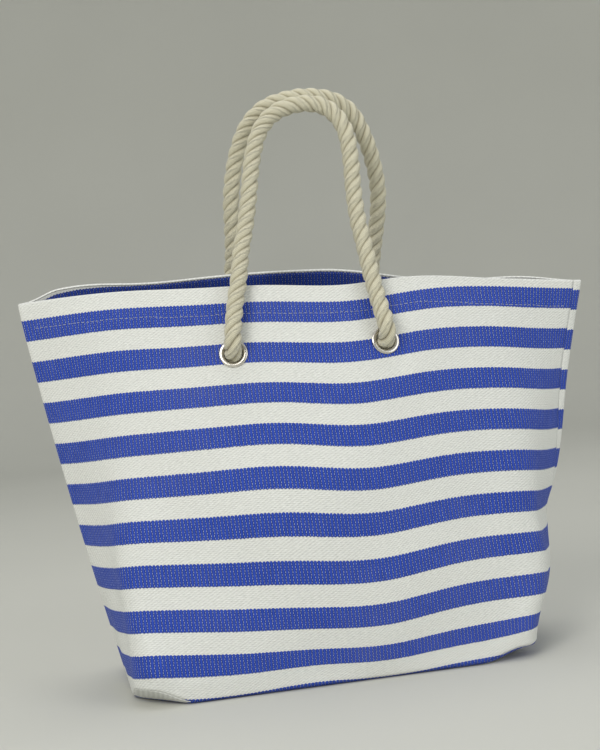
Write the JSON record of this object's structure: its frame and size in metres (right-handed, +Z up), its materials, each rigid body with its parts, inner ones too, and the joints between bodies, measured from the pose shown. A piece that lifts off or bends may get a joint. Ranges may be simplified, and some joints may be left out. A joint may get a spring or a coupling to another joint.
{
  "type": "beach bag",
  "caption": "Large striped woven beach tote with a flat boxed base, a wide open mouth, and twisted rope handles knotted behind metal eyelets that swing down outside.",
  "frame": {"origin": "middle of the base's underside, on the surface the bag stands on", "axes": "+Z up, +X along the mouth from the left side seam to the right one, front wall faces -Y"},
  "size_m": [0.524, 0.1864, 0.5325],
  "materials": {
    "striped_cloth": "ribbed weave in blue and off-white stripes, matte",
    "base_cloth": "same ribbed weave, matte",
    "hem_cloth": "same ribbed weave seen in shade, matte",
    "seam_cloth": "raw cloth edge, overlocked",
    "thread": "spun thread, slight sheen",
    "nickel": "bright nickel plate",
    "cotton_rope": "natural cotton, three strands, soft"
  },
  "bodies": {
    "bag": {"front_panel": "striped_cloth", "back_panel": "striped_cloth", "base_panel": "base_cloth", "front_hem": "hem_cloth", "back_hem": "hem_cloth", "front_hem_thread": "thread", "back_hem_thread": "thread", "left_side_seam": "seam_cloth", "right_side_seam": "seam_cloth", "left_corner_seam": "seam_cloth", "right_corner_seam": "seam_cloth", "front_left_eyelet": "nickel", "front_right_eyelet": "nickel", "back_left_eyelet": "nickel", "back_right_eyelet": "nickel", "front_left_washer": "nickel", "front_right_washer": "nickel", "back_left_washer": "nickel", "back_right_washer": "nickel", "front_left_rope_end": "cotton_rope", "front_right_rope_end": "cotton_rope", "back_left_rope_end": "cotton_rope", "back_right_rope_end": "cotton_rope"},
    "front_handle": {"front_handle": "cotton_rope"},
    "back_handle": {"back_handle": "cotton_rope"}
  },
  "joints": [
    {"name": "front_handle_swing", "type": "hinge", "parent": "bag", "child": "front_handle", "pos_m": [0, -0.0648, 0.2958], "axis": [1, 0, 0], "range_deg": [0, 170]},
    {"name": "back_handle_swing", "type": "hinge", "parent": "bag", "child": "back_handle", "pos_m": [0, 0.0648, 0.2958], "axis": [-1, 0, 0], "range_deg": [0, 170]}
  ]
}
